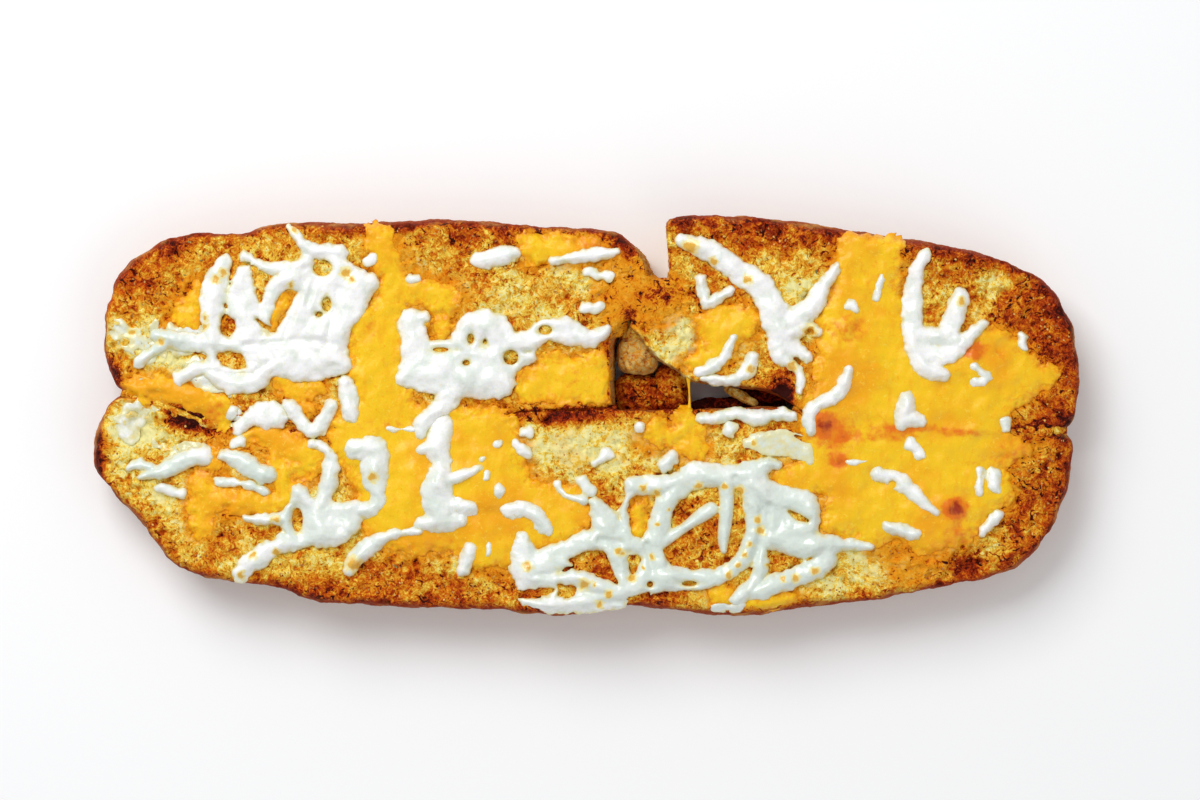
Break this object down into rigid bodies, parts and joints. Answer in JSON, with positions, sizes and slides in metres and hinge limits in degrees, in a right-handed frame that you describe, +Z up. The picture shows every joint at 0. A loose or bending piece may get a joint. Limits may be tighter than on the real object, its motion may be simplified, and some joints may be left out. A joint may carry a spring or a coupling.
{
  "type": "cheesy garlic bread",
  "caption": "Long crusty roll split lengthwise and opened flat, toasted, with melted cheddar and mozzarella run across its cut faces.",
  "frame": {"origin": "centre of the footprint, on the surface the bread lies on", "axes": "+X along the roll, +Y towards the torn back half, +Z up out of the cut faces"},
  "size_m": [0.2963, 0.1201, 0.0284],
  "materials": {
    "toasted_bread": "toasted, buttered crumb with dark brown specks and a red-brown crust",
    "cheddar": "melted cheddar, satin, orange where it toasted",
    "mozzarella": "melted mozzarella, moist satin, thin edges yellowed, small golden spots"
  },
  "bodies": {
    "root": {"bread_back_left": "toasted_bread", "bread_back_right": "toasted_bread", "bread_front": "toasted_bread", "cheddar_edge_strip": "cheddar", "cheddar_front_left": "cheddar", "cheddar_gap_drop": "cheddar", "cheddar_gap_patch": "cheddar", "cheddar_left_band": "cheddar", "cheddar_middle": "cheddar", "cheddar_right": "cheddar", "cheddar_seam_wedge": "cheddar", "cheddar_tab": "cheddar", "cheddar_top_patch": "cheddar", "mozzarella_arch": "mozzarella", "mozzarella_boot": "mozzarella", "mozzarella_crumb_drop": "mozzarella", "mozzarella_end_dash": "mozzarella", "mozzarella_gap_curl": "mozzarella", "mozzarella_gap_lip": "mozzarella", "mozzarella_hook": "mozzarella", "mozzarella_left_arm": "mozzarella", "mozzarella_left_bar": "mozzarella", "mozzarella_middle_arm": "mozzarella", "mozzarella_middle_drop": "mozzarella", "mozzarella_nest": "mozzarella", "mozzarella_net": "mozzarella", "mozzarella_pool": "mozzarella", "mozzarella_right_drop": "mozzarella", "mozzarella_right_wave": "mozzarella", "mozzarella_seam_drip": "mozzarella", "mozzarella_seam_drop": "mozzarella", "mozzarella_seam_lobe": "mozzarella", "mozzarella_seam_rope": "mozzarella", "mozzarella_seam_vee": "mozzarella", "mozzarella_slab": "mozzarella", "mozzarella_small_arch": "mozzarella", "mozzarella_top_dash": "mozzarella", "mozzarella_top_thread": "mozzarella", "mozzarella_tree": "mozzarella", "mozzarella_vee": "mozzarella", "mozzarella_veil": "mozzarella"}
  },
  "joints": []
}
